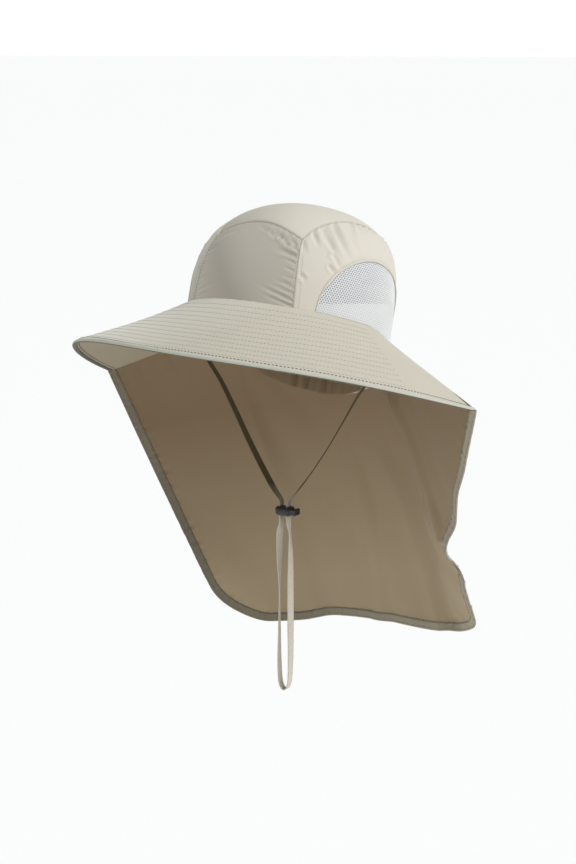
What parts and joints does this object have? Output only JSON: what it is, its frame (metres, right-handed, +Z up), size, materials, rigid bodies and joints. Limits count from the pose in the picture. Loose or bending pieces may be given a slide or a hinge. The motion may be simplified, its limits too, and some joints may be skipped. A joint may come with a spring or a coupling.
{
  "type": "flap sun hat",
  "caption": "Sun hat with a panelled crown, arched net windows, a stitched front brim, a neck flap and a chin strap with a sprung cord lock.",
  "frame": {"origin": "centre of the crown's rim, where the hat sits on a head", "axes": "+Z up, the front brim towards -Y, the wearer's left towards +X; the crown leans back by 17.9 degrees as worn"},
  "size_m": [0.3995, 0.3355, 0.4563],
  "materials": {
    "front_cloth": "matt smooth woven cloth",
    "pale_cloth": "matt fine woven cloth",
    "warm_cloth": "matt fine woven cloth, thin",
    "net": "fine white net",
    "band": "soft matt band",
    "edge_tape": "rolled binding tape",
    "strap_tape": "flat woven tape",
    "black_plastic": "gloss black moulding"
  },
  "bodies": {
    "hat": {"crown_front": "front_cloth", "crown_top": "pale_cloth", "crown_side_left": "pale_cloth", "crown_side_right": "pale_cloth", "net_left": "net", "net_right": "net", "sweatband": "band", "brim": "pale_cloth", "brim_binding": "edge_tape", "flap": "warm_cloth", "chin_strap": "strap_tape", "cord_lock": "black_plastic"},
    "plunger": {"lock_plunger": "black_plastic"}
  },
  "joints": [
    {"name": "plunger_press", "type": "slide", "parent": "hat", "child": "plunger", "axis": [-1, 0, 0], "range_m": [0, 0.002], "stiffness_N_per_m": 300}
  ]
}
